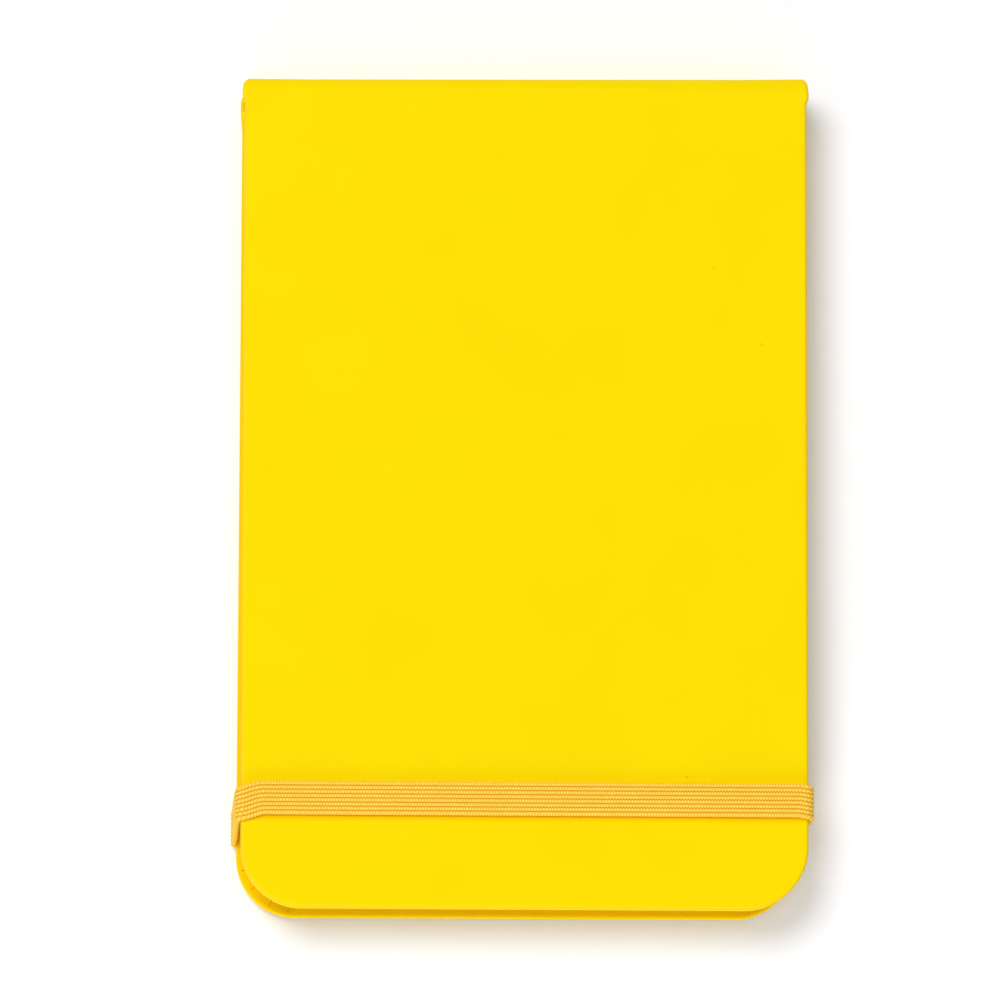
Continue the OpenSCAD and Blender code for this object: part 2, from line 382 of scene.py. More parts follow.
def foldPleats(piece, low, high):
    # creases between the pleats, fanned round each loose corner on the inside of the cover
    radius = notebook["cornerRadius"]
    centreX = notebook["halfWidth"] - radius
    centreY = notebook["foot"] + radius
    wide = case["pleatHalfAngle"]
    wall = low + case["stripThickness"]
    for place in (-case["gutterEnd"], -centreX, centreX, case["gutterEnd"]):
        ringCut(piece, 0, place)
    for place in (centreY,) + case["bulgeLoops"]:
        ringCut(piece, 1, place)

    def polar(place):
        # distance from the centre of the nearer loose corner, and degrees from the side towards the foot
        x, y = abs(place.x) - centreX, centreY - place.y
        return math.hypot(x, y), math.degrees(math.atan2(y, x))

    for turn in (-1, 1):
        centre = Vector((turn * centreX, centreY, 0))

        def inCorner(face):
            middle = middleOf(face)
            return middle.x * turn > centreX and middle.y < centreY and middle.z > wall

        for crease in case["pleatAngles"]:
            for angle in (crease - wide, crease, crease + wide):
                pick(piece, "FACE", inCorner)
                across = (turn * math.sin(math.radians(angle)), math.cos(math.radians(angle)), 0)
                bpy.ops.mesh.bisect(plane_co=centre, plane_no=across, threshold=0.0005)
            outward = Vector((turn * math.cos(math.radians(crease)), -math.sin(math.radians(crease)), 0))
            pick(piece, "FACE", lambda face: inCorner(face) and abs(polar(middleOf(face))[1] - crease) < wide)
            bpy.ops.mesh.bisect(plane_co=centre + outward * (radius - case["pleatLength"]), plane_no=outward,
                                threshold=0.0005)

    def creaseShare(place):
        # 1 in a crease at the rounded edge, 0 at its inner end and beside it
        if place.y > centreY or abs(place.x) < centreX or place.z < wall + 0.01:
            return 0
        distance, angle = polar(place)
        if min(abs(angle - crease) for crease in case["pleatAngles"]) > 0.1 * wide:
            return 0
        start, end = case["creaseFade"]
        fade = 1 - case["creaseLoss"] * smoothRise(distance, radius - start, radius - end)
        return fade * smoothRise(distance, radius - case["pleatLength"], radius - case["creaseFull"])

    def sink(place):
        share = creaseShare(place)
        if share == 0:
            return (0, 0, 0)
        distance, angle = polar(place)
        out = max(distance - radius + case["rimRadius"], 0)
        up = max(place.z - high + case["rimRadius"], 0)
        reach = math.hypot(out, up)
        depth = case["pleatDepth"] * share
        turn = 1 if place.x > 0 else -1
        inward = depth * out / reach
        return (-turn * inward * math.cos(math.radians(angle)), inward * math.sin(math.radians(angle)),
                -depth * up / reach)

    def foldTone(place):
        # painted shade: on the inside border, in its creases, and at the ends of the gutter
        startX, endX = case["gutterX"]
        startY, endY = case["gutterY"]
        # painted shadow in the gutter beside the board's head
        if startX < abs(place.x) < endX and startY < place.y < endY and near(place.z, wall, 0.02):
            return case["gutterShadow"]
        # painted shade on the inside border, rising towards the cover's inner face
        inner = smoothRise(place.z, high - case["rimRadius"], high) if place.y < notebook["boardEnd"] else 0
        turned = case["turnedShadeLevel"] * inner
        return turned + (1 - turned) * creaseShare(place)

    def edgeTone(place):
        # painted highlight: on the rounding between the outer face and the side, and at the ends of the
        # gutter
        band = case["rimBand"]
        atSide = abs(place.x) > notebook["halfWidth"] - band and place.y < case["gutterY"][1]
        atFoot = place.y < notebook["foot"] + band
        atCorner = min(abs(place.x) - centreX, centreY - place.y) > 0 and polar(place)[0] > radius - band
        if not (atSide or atFoot or atCorner):
            return 0
        startY, endY = case["paleEndY"]
        if abs(place.x) > case["paleEndX"] and startY < place.y < endY and place.z > low + 0.3:
            return case["gutterEndHighlight"]
        full, fade, end = case["edgeHighlightHeights"]
        return smoothRise(place.z, low, low + full) * (1 - smoothRise(place.z, low + fade, low + end))

    bpy.ops.object.mode_set(mode="OBJECT")
    tones = [foldTone(vertex.co) for vertex in piece.data.vertices]
    moveVertices(piece, sink)
    setTones(piece, "foldTone", tones)
    setTones(piece, "edgeTone", [edgeTone(vertex.co) for vertex in piece.data.vertices])


def thickenSpine(piece, fold, high):
    # the inner face of the spine stands further in than the strip's, over the lining card and its sheet
    shallow = case["shoulderRadius"] - case["stripThickness"]
    deeper = case["spineEndThickness"] - case["stripThickness"]

    def shift(place):
        if place.y < fold - 0.001:
            return (0, 0, 0)
        if place.z <= high + 0.001:
            along, up = place.y - fold, place.z - high
            radius = math.hypot(along, up)
            if abs(radius - shallow) > 0.02:
                return (0, 0, 0)
            share = smoothRise(math.degrees(math.atan2(along, -up)), 0, case["deepFrom"])
            return (0, -along / radius * deeper * share, -up / radius * deeper * share)
        if abs(place.y - fold - shallow) > 0.02:
            return (0, 0, 0)
        return (0, -deeper, 0)

    moveVertices(piece, shift)


def settleSpine(piece):
    # Both covers stand a little proud beside the fold, and the back is narrower past it.
    # The corners of the spine are rounded in plan, and its edge is slightly hollow and out of square.
    def shift(place):
        share = place.x / notebook["halfWidth"]
        turn = 1 if place.x > 0 else -1
        tall = smoothRise(place.z, *case["spineRise"])
        loss = case["flareLoss"][1 if place.x > 0 else 0] * smoothRise(place.y, *case["flareFall"])
        proud = case["flare"] * smoothRise(place.y, *case["flareRise"]) * (1 - loss)
        bulge = case["bulge"] * smoothRise(place.y, *case["bulgeRise"])
        bulge *= 1 - smoothRise(place.y, *case["bulgeFall"])
        short = case["recess"] * smoothRise(place.y, *case["recessRise"]) - bulge
        corner = smoothRise(place.y, *case["headCornerY"]) * smoothRise(abs(place.x), *case["headCornerX"])
        outward = (proud * tall - short * (1 - tall)) * abs(share)
        outward -= corner * (case["headCornerRadius"] - case["rimRadius"])
        low, high = case["headSkew"]
        skew = low + (high - low) * (share + 1) / 2
        along = (skew - case["headHollow"] * (1 - share ** 2)) * smoothRise(place.y, *case["headRise"])
        return (turn * outward, along, 0)

    moveVertices(piece, shift)


def turnOver(piece):
    # turns a back half into a front half
    moveVertices(piece, lambda place: (0, 0, 2 * (notebook["middle"] - place.z)))
    facesOut(piece)


def clearStrip(piece):
    # thins the covering where the paper turns with it
    inner = notebook["frontFace"] - case["stripThickness"]
    startY, endY = case["clearY"]

    def shift(place):
        beside = startY < place.y < endY and abs(place.x) < case["clearHalfWidth"]
        return (0, 0, case["stripClearance"] if beside and place.z < inner + case["clearHeight"] else 0)

    moveVertices(piece, shift)


def paintStrapShadow(piece):
    # painted shadow of the strap: the covering is deeper in colour along the strap's foot side
    edge = notebook["strapY"] - notebook["strapWidth"] / 2
    under = edge + case["strapShadowUnder"]
    for place in (edge - case["strapShadowWidth"], edge, under, under + case["strapShadowFade"]):
        ringCut(piece, 1, place)
    bpy.ops.object.mode_set(mode="OBJECT")
    layer = piece.data.attributes["foldTone"]
    for index, vertex in enumerate(piece.data.vertices):
        place = vertex.co
        if place.z > notebook["frontFace"] - 0.5 and edge - 0.01 < place.y < under + 0.01:
            layer.data[index].value = case["strapShadowTone"]


print("Shaping the covers")
backCovering = buildCaseHalf("backCovering", True)
facesOut(backCovering)
settleSpine(backCovering)
frontCovering = buildCaseHalf("frontCovering", False)
turnOver(frontCovering)
for place in case["foldLoops"]:
    if place > notebook["fold"] + 0.001:
        ringCut(frontCovering, 1, place)
paintStrapShadow(frontCovering)
clearStrip(frontCovering)
settleSpine(frontCovering)


# Paper inside the front cover
pastedown = {
    "thickness": 0.15,
    "cornerRadius": 7.5,
    "cornerSteps": 10,
    "acrossLoop": 20.0,
    "alongLoops": (-30.0, 0.0, 35.0),
    "slope": 0.7,          # width over which the paper sinks from the turned-in border to the board
    "sink": 0.35,
    "sinkEnd": (71.3, 71.95),
    "headEdge": 69.55,     # where it leaves the board for the strip beside it
    "ledge": 0.32,
    "bend": 0.06,
    "slant": 0.02,
    "pastBoard": 0.2,      # how much further along it goes down past the turned-in border
    "pastBoardY": (69.6, 70.2),
    "stripHeight": 13.425, # middle of the paper beside the fold
    "riserY": 72.375,
    "riserFoot": 13.3,
}


def buildPastedown():
    # paper on the inside of the front cover, down into the joint and over the fold to the riser
    half = notebook["leafHalfWidth"]
    foot = notebook["leafFoot"]
    height = notebook["frontInside"] - pastedown["thickness"] / 2
    windowX = notebook["halfWidth"] - case["turnIn"]
    windowY = notebook["foot"] + case["turnIn"]
    edge = pastedown["headEdge"]
    piece = addPanel("frontPastedown", (-half, foot), (half, edge), height)
    pick(piece, "VERT", lambda vertex: near(vertex.co.y, foot))
    bpy.ops.mesh.bevel(offset=pastedown["cornerRadius"], segments=pastedown["cornerSteps"], affect="VERTICES")
    for turn in (-1, 1):
        for place in (windowX, windowX - pastedown["slope"], pastedown["acrossLoop"]):
            ringCut(piece, 0, turn * place)
    for place in (windowY, windowY + pastedown["slope"]) + pastedown["alongLoops"]:
        ringCut(piece, 1, place)

    pick(piece, "EDGE", lambda side: bothAt(side, 1, edge))
    down = pastedown["stripHeight"] - height
    bend = pastedown["bend"]
    steps = [(pastedown["ledge"], 0), (bend, bend), (pastedown["slant"], down - 2 * bend), (bend, bend)]
    reached = edge + sum(step[0] for step in steps)
    for along, up in steps:
        extrudeBy(0, along, up)
    turning = [y for y in case["foldLoops"] if y < pastedown["riserY"] - 0.001]
    for stop in list(case["stripLoops"][1:]) + turning:
        extrudeBy(0, stop - reached, 0)
        reached = stop
    extrudeBy(0, pastedown["riserY"] - reached, 0)
    extrudeBy(0, 0, pastedown["riserFoot"] - pastedown["stripHeight"])
    bpy.ops.object.mode_set(mode="OBJECT")

    def sink(place):
        if place.z < pastedown["riserFoot"] + 0.01 and place.y > notebook["fold"]:
            return (0, 0, 0)
        across = smoothRise(abs(place.x), windowX, windowX - pastedown["slope"])
        along = smoothRise(place.y, windowY, windowY + pastedown["slope"])
        along *= 1 - smoothRise(place.y, *pastedown["sinkEnd"])
        start, end = pastedown["pastBoardY"]
        past = pastedown["pastBoard"] * (1 - across) if start < place.y < end else 0
        return (0, past, pastedown["sink"] * across * along)

    moveVertices(piece, sink)
    applyModifier(piece, "SOLIDIFY", "paper", thickness=pastedown["thickness"], offset=0)
    facesOut(piece)
    return piece


print("Laying the paper")
frontPastedown = buildPastedown()


# Boards
boards = {
    "backLow": 1.35,
    "frontLow": 12.35,
    "inset": 0.35,
    "thickness": 1.5,
    "end": 69.7,
    "edge": 0.12,
    "loops": (-45.0, 0.0, 35.0),
    "bedDepth": 0.5,        # for the strap's tail, pressed into the inside of the back board
    "bedEnd": 23.6,
}


def buildBoard(name, low, withSlots):
    # grey board inside a cover, which leans with its covering
    across = notebook["halfWidth"] - boards["inset"]
    foot = notebook["foot"] + boards["inset"]
    high = low + boards["thickness"]
    piece = addBlock(name, (-across, foot, low), (across, boards["end"], high))
    pick(piece, "EDGE", lambda edge: uprightAt(edge, 1, foot))
    bpy.ops.mesh.bevel(offset=notebook["cornerRadius"] - boards["inset"], segments=case["cornerSteps"],
                       affect="EDGES")
    pick(piece, "EDGE", lambda edge: bothAt(edge, 2, low) or bothAt(edge, 2, high))
    bpy.ops.mesh.bevel(offset=boards["edge"], segments=2, affect="EDGES")
    for turn in (-1, 1):
        ringCut(piece, 0, turn * (notebook["halfWidth"] - notebook["cornerRadius"]))
    for place in (notebook["foot"] + notebook["cornerRadius"],) + boards["loops"]:
        ringCut(piece, 1, place)
    if withSlots:
        cutSlots(piece, high)
    facesOut(piece)
    return piece


def cutSlots(piece, high):
    # a slot for the strap through each side, and the bed in which its tail lies
    for place in case["slotY"]:
        ringCut(piece, 1, place)
    for turn in (-1, 1):
        for place in case["slotX"] + (boards["bedEnd"],):
            ringCut(piece, 0, turn * place)
    startY, endY = case["slotY"]
    bedEnd = boards["bedEnd"]
    slotStart, slotEnd = case["slotX"]
    for turn in (-1, 1):
        def inBed(face):
            middle = middleOf(face)
            across = bedEnd < middle.x * turn < slotStart
            return across and startY < middle.y < endY and near(middle.z, high)

        def inSlot(face):
            middle = middleOf(face)
            across = slotStart < middle.x * turn < slotEnd
            return across and startY < middle.y < endY and abs(face.normal.z) > 0.9

        pick(piece, "FACE", inBed)
        extrudeBy(0, 0, -boards["bedDepth"])
        pick(piece, "FACE", inSlot)
        bpy.ops.mesh.bridge_edge_loops()


backBoard = buildBoard("backBoard", boards["backLow"], True)
frontBoard = buildBoard("frontBoard", boards["frontLow"], False)


# Pages
pages = {
    "count": 80,
    "bottom": 3.6,
    "top": 11.6,
    "head": 71.9,
    "paper": 0.088,
    "cornerRadius": 7.5,
    "cornerSteps": 10,
    "stray": 0.05,      # how far a leaf may lie out of line
    "seed": 7,
}


def buildLeaves():
    # one leaf, stacked up to the whole block, with each leaf lying a hair differently
    half = notebook["leafHalfWidth"]
    foot = notebook["leafFoot"]
    piece = addPanel("pageLeaves", (-half, foot), (half, pages["head"]), pages["bottom"])
    pick(piece, "VERT", lambda vertex: near(vertex.co.y, foot))
    bpy.ops.mesh.bevel(offset=pages["cornerRadius"], segments=pages["cornerSteps"], affect="VERTICES")
    pick(piece, "FACE", lambda face: True)
    extrudeBy(0, 0, pages["paper"])
    bpy.ops.object.mode_set(mode="OBJECT")
    facesOut(piece)
    pitch = (pages["top"] - pages["bottom"]) / pages["count"]
    applyModifier(piece, "ARRAY", "block", count=pages["count"], use_relative_offset=False,
                  use_constant_offset=True, constant_offset_displace=(0, 0, pitch))
    luck = np.random.default_rng(pages["seed"])
    shifts = luck.uniform(0, pages["stray"], (pages["count"], 3))

    def stray(place):
        leaf = min(int((place.z - pages["bottom"]) / pitch + 0.01), pages["count"] - 1)
        across, along, narrow = shifts[leaf]
        turn = 1 if place.x > 0 else -1
        return (-turn * (across if place.x > 0 else narrow), along if place.y < 0 else 0, 0)

    moveVertices(piece, stray)
    return piece


pageLeaves = buildLeaves()


# Elastic strap
strap = {
    "thickness": 0.95,
    "cords": 8,
    "rowsPerCord": 4,
    "fullness": 0.55,     # power of the sine across a cord: the lower, the squarer
    "groove": 0.15,
    "selvedge": 1.7,      # how much thinner the strap is at its edges, in grooves
    "stitch": 0.52,       # length of one stitch along a cord
    "stitchDepth": 0.085,
    "stitchColumns": 4,
    "slant": 0.55,        # of a stitch, from one side of a cord to the other
    "sunkenStitch": 0.35,     # share of a stitch's depth that is left in the groove
    # painted highlight at the strap's edges, as on a crest
    "selvedgeTone": 0.75,
    "stitchGapShade": 0.12,      # painted shade between two stitches
    "frontHeight": 14.725,
    "backHeight": 0.475,
    "bendX": 49.4,
    "bendRadius": 1.125,
    "slotBendX": 37.0,
    "slotBendRadius": 0.775,
    "slotBendHeight": 1.25,
    "legTop": 2.2,
    "tailBend": 0.4,
    "tailEnd": 23.75,
    "tailThickness": 0.5,
    "tailThins": (1.2, 2.2),    # past the part that shows
    "tailColumns": 22,
    "smoothAngle": 80,
    # how far the strap has strayed towards the foot, at lengths from the middle of the front
    "driftLeft": ((46.0, 0.0), (51.0, 1.2), (62.5, 3.9), (73.5, 3.0)),
    "driftRight": ((48.0, 0.0), (51.5, 0.5), (62.5, 0.7), (73.5, 3.0)),
}


def strapStretches():
    # straight runs and quarter turns from the middle of the front to the end of a tail:
    # length, then start point in the X-Z plane and direction, or centre, radius and start angle
    quarter = math.pi / 2
    down = strap["frontHeight"] - strap["bendRadius"]
    up = strap["backHeight"] + strap["bendRadius"]
    side = strap["bendX"] + strap["bendRadius"]
    leg = strap["slotBendX"] - strap["slotBendRadius"]
    return [
        ("run", strap["bendX"], (0, strap["frontHeight"]), (1, 0)),
        ("turn", strap["bendRadius"] * quarter, (strap["bendX"], down), strap["bendRadius"], 90, -1),
        ("run", down - up, (side, down), (0, -1)),
        ("turn", strap["bendRadius"] * quarter, (strap["bendX"], up), strap["bendRadius"], 0, -1),
        ("run", strap["bendX"] - strap["slotBendX"], (strap["bendX"], strap["backHeight"]), (-1, 0)),
        ("turn", strap["slotBendRadius"] * quarter, (strap["slotBendX"], strap["slotBendHeight"]),
         strap["slotBendRadius"], -90, -1),
        ("run", strap["legTop"] - strap["slotBendHeight"], (leg, strap["slotBendHeight"]), (0, 1)),
        ("turn", strap["tailBend"] * quarter, (leg - strap["tailBend"], strap["legTop"]),
         strap["tailBend"], 0, 1),
        ("run", leg - strap["tailBend"] - strap["tailEnd"],
         (leg - strap["tailBend"], strap["legTop"] + strap["tailBend"]), (-1, 0)),
    ]


def strapPlace(length, stretches):
    # point and outward direction in the X-Z plane at a length along one half of the strap
    left = length
    for stretch in stretches:
        if left <= stretch[1] or stretch is stretches[-1]:
            if stretch[0] == "run":
                (x, z), (dx, dz) = stretch[2], stretch[3]
                return (x + dx * left, z + dz * left), (-dz, dx)
            centre, radius, start, sense = stretch[2], stretch[3], math.radians(stretch[4]), stretch[5]
            angle = start + sense * left / radius
            outward = (math.cos(angle), math.sin(angle))
            point = (centre[0] + outward[0] * radius, centre[1] + outward[1] * radius)
            return point, (outward[0] * -sense, outward[1] * -sense)
        left -= stretch[1]


def strapDrift(half, turn):
    # how far towards the foot the strap lies at a length along its left or right half
    stops = strap["driftRight"] if turn > 0 else strap["driftLeft"]
    drift = stops[0][1]
    for (start, before), (end, after) in zip(stops, stops[1:]):
        drift += (after - before) * smoothRise(half, start, end)
    return drift


def strapSection():
    # closed outline of the strap: each cord is a rounded rib, on the front and on the back
    outline = []
    perCord = strap["rowsPerCord"]
    rows = strap["cords"] * perCord
    width = notebook["strapWidth"]
    for face in (1, -1):
        for row in range(rows + 1):
            across = -width / 2 + width * row / rows
            share = row % perCord / perCord
            crest = math.sin(math.pi * share) ** strap["fullness"] if row % perCord else 0
            half = strap["thickness"] / 2 - strap["groove"] * (1 - crest)
            if row in (0, rows):
                half = strap["thickness"] / 2 - strap["groove"] * strap["selvedge"]
                crest = strap["selvedgeTone"]
            cord = min(row // perCord, strap["cords"] - 1)
            outline.append((across * face, half * face, cord, share, crest))
    return outline + [outline[0]]


def buildStrap():
    # a fine sheet rolled up to the strap's section, then laid round both covers and into its slots
    stretches = strapStretches()
    seen = sum(stretch[1] for stretch in stretches[:5])
    whole = sum(stretch[1] for stretch in stretches)
    step = strap["stitch"] / strap["stitchColumns"]
    fine = np.arange(-round(seen / step), round(seen / step) + 1) * step
    coarse = np.linspace(fine[-1], whole, strap["tailColumns"])[1:]
    lengths = np.concatenate([-coarse[::-1], fine, coarse])
    outline = strapSection()
    deselectAll()
    bpy.ops.mesh.primitive_grid_add(x_subdivisions=len(lengths) - 1, y_subdivisions=len(outline) - 1, size=2)
    piece = bpy.context.object
    piece.name = "elasticStrap"
    piece.data.name = "elasticStrap"
    count = len(piece.data.vertices)
    flat = np.empty(count * 3)
    piece.data.vertices.foreach_get("co", flat)
    flat = flat.reshape(-1, 3)
    columns = np.rint((flat[:, 0] + 1) / 2 * (len(lengths) - 1)).astype(int)
    rows = np.rint((flat[:, 1] + 1) / 2 * (len(outline) - 1)).astype(int)
    laid = np.empty_like(flat)
    crest = np.empty(count)
    for index in range(count):
        length = lengths[columns[index]]
        across, lift, cord, share, rib = outline[rows[index]]
        half = abs(length)
        turn = 1 if length >= 0 else -1
        drift = strapDrift(half, turn)
        middle = notebook["strapY"] - drift
        slope = (drift - strapDrift(half + 0.01, turn)) / 0.01
        norm = math.hypot(1, slope)
        # yarn of neighbouring cords slants in opposite directions
        lean = 1 if cord % 2 else -1
        phase = (length / strap["stitch"] + strap["slant"] * lean * share) % 1
        yarn = abs(math.sin(math.pi * phase))
        if half > seen:
            yarn = 1
        sign = 1 if lift >= 0 else -1
        sunken = strap["sunkenStitch"]
        lift -= sign * strap["stitchDepth"] * (1 - yarn) * (sunken + (1 - sunken) * rib)
        start, end = strap["tailThins"]
        thin = smoothRise(half, seen + start, seen + end)
        lift *= 1 - thin * (1 - strap["tailThickness"] / strap["thickness"])
        (x, z), (outX, outZ) = strapPlace(half - across * slope / norm, stretches)
        laid[index] = (turn * (x + outX * lift), middle + across / norm, z + outZ * lift)
        # painted shade in the grooves and between stitches, painted highlight on the crests, from the yarn's
        # height
        crest[index] = rib * (strap["stitchGapShade"] + (1 - strap["stitchGapShade"]) * yarn)
    piece.data.vertices.foreach_set("co", laid.ravel())
    setTones(piece, "yarnTone", crest.astype(np.float32))
    facesOut(piece)
    return piece


print("Laying the strap")
elasticStrap = buildStrap()

stiffPieces = (backCovering, frontCovering, backBoard, frontBoard, frontPastedown, pageLeaves)
for piece in stiffPieces + (elasticStrap,):
    leanOver(piece)
for piece in stiffPieces:
    finishPiece(piece)
finishPiece(elasticStrap, strap["smoothAngle"])


# Finishes
class Wire:
    # one output of a node; sums on it add Math nodes
    def __init__(self, finish, socket):
        self.finish = finish
        self.socket = socket

    def sum(self, operation, first, second):
        return self.finish.add("ShaderNodeMath", {"operation": operation}, {0: first, 1: second})

    def __add__(self, other):
        return self.sum("ADD", self, other)

    def __sub__(self, other):
        return self.sum("SUBTRACT", self, other)

    def __rsub__(self, other):
        return self.sum("SUBTRACT", other, self)

    def __mul__(self, other):
        return self.sum("MULTIPLY", self, other)

    __radd__ = __add__
    __rmul__ = __mul__


class Finish:
    # a material with its shader, and the one way in which its other nodes are added
    def __init__(self, name, **constants):
        self.material = bpy.data.materials.new(name)
        self.material.use_nodes = True
        self.nodes = self.material.node_tree.nodes
        self.links = self.material.node_tree.links
        self.shader = self.nodes["Principled BSDF"]
        self.set(constants)

    def set(self, values):
        for label, value in values.items():
            self.plug(self.shader.inputs[label], value)

    def plug(self, socket, value):
        if isinstance(value, Wire):
            self.links.new(value.socket, socket)
        else:
            socket.default_value = value

    def add(self, kind, settings, inputs, output=0):
        node = self.nodes.new(kind)
        for label, value in settings.items():
            if label == "stops":
                ramp = node.color_ramp
                while len(ramp.elements) < len(value):
                    ramp.elements.new(0.5)
                for element, (place, colour) in zip(ramp.elements, value):
                    element.position = place
                    element.color = colour
            else:
                setattr(node, label, value)
        for label, value in inputs.items():
            self.plug(node.inputs[label], value)
        return Wire(self, node.outputs[output])

    def place(self, scale=(1, 1, 1), shift=(0, 0, 0)):
        # where a point lies on the object
        spot = self.add("ShaderNodeTexCoord", {}, {}, "Object")
        return self.add("ShaderNodeMapping", {}, {"Vector": spot, "Scale": scale, "Location": shift})

    def noise(self, scale, detail=3.0, roughness=0.5, spread=(1, 1, 1)):
        return self.add("ShaderNodeTexNoise", {}, {
            "Vector": self.place(spread), "Scale": scale, "Detail": detail, "Roughness": roughness})

    def blendColours(self, share, first, second):
        return self.add("ShaderNodeMix", {"data_type": "RGBA", "clamp_factor": True},
                        {0: share, 6: first, 7: second}, 2)

    def ramp(self, value, start, end):
        return self.add("ShaderNodeMapRange", {"interpolation_type": "SMOOTHSTEP"},
                        {0: value, 1: start, 2: end, 3: 0.0, 4: 1.0})

    def bump(self, height, distance, strength=1.0):
        self.set({"Normal": self.add("ShaderNodeBump", {}, {
            "Height": height, "Distance": distance, "Strength": strength})})


def screen(red, green, blue):
    # a colour as it reads on a screen, 0 to 255, for a shader
    def linear(part):
        return part / 12.92 if part <= 0.04045 else ((part + 0.055) / 1.055) ** 2.4

    return tuple(linear(part / 255) for part in (red, green, blue)) + (1.0,)


coveringLook = {
    "yellow": screen(255, 224, 0),
    "deepYellow": screen(255, 221, 0),
    "turned": screen(255, 202, 0),      # painted shade on the inside border of each cover
    "edge": screen(255, 209, 46),       # painted highlight on the rounded edges and at the gutter's ends
    # painted shade in the pleat creases and at the gutter's ends, and partly in the strap's shadow
    "crease": screen(150, 92, 8),
    "speck": screen(205, 165, 10),
    "clouds": 60.0,
    "edgeHighlightPatches": 700.0,
    "edgeHighlightShare": 0.8,
    "cloudRange": (0.35, 0.75),
    "creaseRange": (0.55, 1.0),
    "edgeHighlightRange": (0.1, 0.9),
    "specks": 70.0,
    "speckSize": (0.010, 0.018),
    "speckShare": 0.55,
    "grain": 2600.0,
    "grainDepth": 0.000018,
    "roughness": 0.62,
    "gloss": 0.03,
}


def coveringFinish():
    # smooth matt covering paper with a fine even grain and a few tiny specks, with painted shade on the
    # inside border, in the creases, at the gutter's ends and below the strap, and a painted highlight along
    # the rounded edges
    finish = Finish("yellowCovering", Roughness=coveringLook["roughness"])
    finish.set({"Specular IOR Level": coveringLook["gloss"]})
    cloudy = finish.ramp(finish.noise(coveringLook["clouds"], 2.0), *coveringLook["cloudRange"])
    colour = finish.blendColours(cloudy, coveringLook["yellow"], coveringLook["deepYellow"])
    # painted shade, carried by a value on each vertex
    fold = finish.add("ShaderNodeAttribute", {"attribute_name": "foldTone"}, {}, "Fac")
    colour = finish.blendColours(finish.ramp(fold, 0.0, case["turnedShadeLevel"]), colour, coveringLook["turned"])
    # painted shade in the creases
    creaseShade = finish.ramp(fold, *coveringLook["creaseRange"])
    colour = finish.blendColours(creaseShade, colour, coveringLook["crease"])
    # painted highlight along the rounded edges, broken up by noise
    edgeLit = finish.add("ShaderNodeAttribute", {"attribute_name": "edgeTone"}, {}, "Fac")
    patchy = (finish.noise(coveringLook["edgeHighlightPatches"], 3.0) - 0.5) * 0.5
    edgeSheen = finish.ramp(edgeLit + patchy, *coveringLook["edgeHighlightRange"]) * coveringLook["edgeHighlightShare"]
    colour = finish.blendColours(edgeSheen, colour, coveringLook["edge"])
    cells = finish.add("ShaderNodeTexVoronoi", {"feature": "F1"}, {
        "Vector": finish.place(), "Scale": coveringLook["specks"], "Randomness": 1.0})
    speck = (1 - finish.ramp(cells, *coveringLook["speckSize"])) * coveringLook["speckShare"]
    finish.set({"Base Color": finish.blendColours(speck, colour, coveringLook["speck"])})
    finish.bump(finish.noise(coveringLook["grain"], 4.0, 0.65), coveringLook["grainDepth"], 0.6)
    return finish.material


strapLook = {
    # painted highlight on the crests, painted shade in the grooves
    "crest": screen(255, 236, 116),
    "thread": screen(254, 204, 62),
    "groove": screen(230, 146, 12),
    "roughness": 0.7,
    "gloss": 0.12,
    "fuzz": 5200.0,
    "fuzzDepth": 0.00004,
    "fuzzShare": 0.35,
    "threadRange": (0.02, 0.5),
    "crestRange": (0.5, 0.95),
    "patches": 420.0,
    "patchRange": (0.35, 0.65),
    "patchLeast": 0.6,
}


def strapFinish():
    # braided elastic: painted highlight on the ribs, painted shade where the cords meet and between stitches,
    # following the yarn's height
    finish = Finish("orangeElastic", Roughness=strapLook["roughness"])
    finish.set({"Specular IOR Level": strapLook["gloss"]})
    tone = finish.add("ShaderNodeAttribute", {"attribute_name": "yarnTone"}, {}, "Fac")
    fuzz = finish.noise(strapLook["fuzz"], 3.0, 0.6)
    patches = finish.noise(strapLook["patches"], 2.0)
    lit = tone + (fuzz - 0.5) * strapLook["fuzzShare"]
    threads = finish.ramp(lit, *strapLook["threadRange"])
    low = finish.blendColours(threads, strapLook["groove"], strapLook["thread"])
    least = strapLook["patchLeast"]
    bright = least + finish.ramp(patches, *strapLook["patchRange"]) * (1 - least)
    crest = finish.ramp(lit, *strapLook["crestRange"]) * bright
    finish.set({"Base Color": finish.blendColours(crest, low, strapLook["crest"])})
    finish.bump(fuzz, strapLook["fuzzDepth"], 0.5)
    return finish.material


paperLook = {
    "ivory": screen(246, 241, 225),
    "shade": screen(242, 236, 218),
    "edge": screen(226, 216, 190),
    "fibre": 900.0,
    "cloudRange": (0.3, 0.75),
    "leafRange": (0.35, 0.7),
    "fleckRange": (0.4, 0.7),
    "leafSpread": (25, 25, 9000),   # far finer upwards, so that each leaf differs
    "boardGrey": screen(160, 154, 143),
    "boardFleck": screen(132, 126, 116),
    "clothDip": screen(214, 212, 200),
    "clothThread": screen(238, 237, 228),
    "clothBands": 420.0,
}


def paperFinish(name):
    # uncoated paper with faint fibres
    finish = Finish(name, Roughness=0.85)
    finish.set({"Specular IOR Level": 0.2})
    cloudy = finish.ramp(finish.noise(paperLook["fibre"] / 9, 3.0), *paperLook["cloudRange"])
    fibres = finish.noise(paperLook["fibre"], 5.0, 0.7, (1, 0.35, 1))
    finish.set({"Base Color": finish.blendColours(cloudy, paperLook["ivory"], paperLook["shade"])})
    finish.bump(fibres, 0.00002, 0.5)
    return finish.material


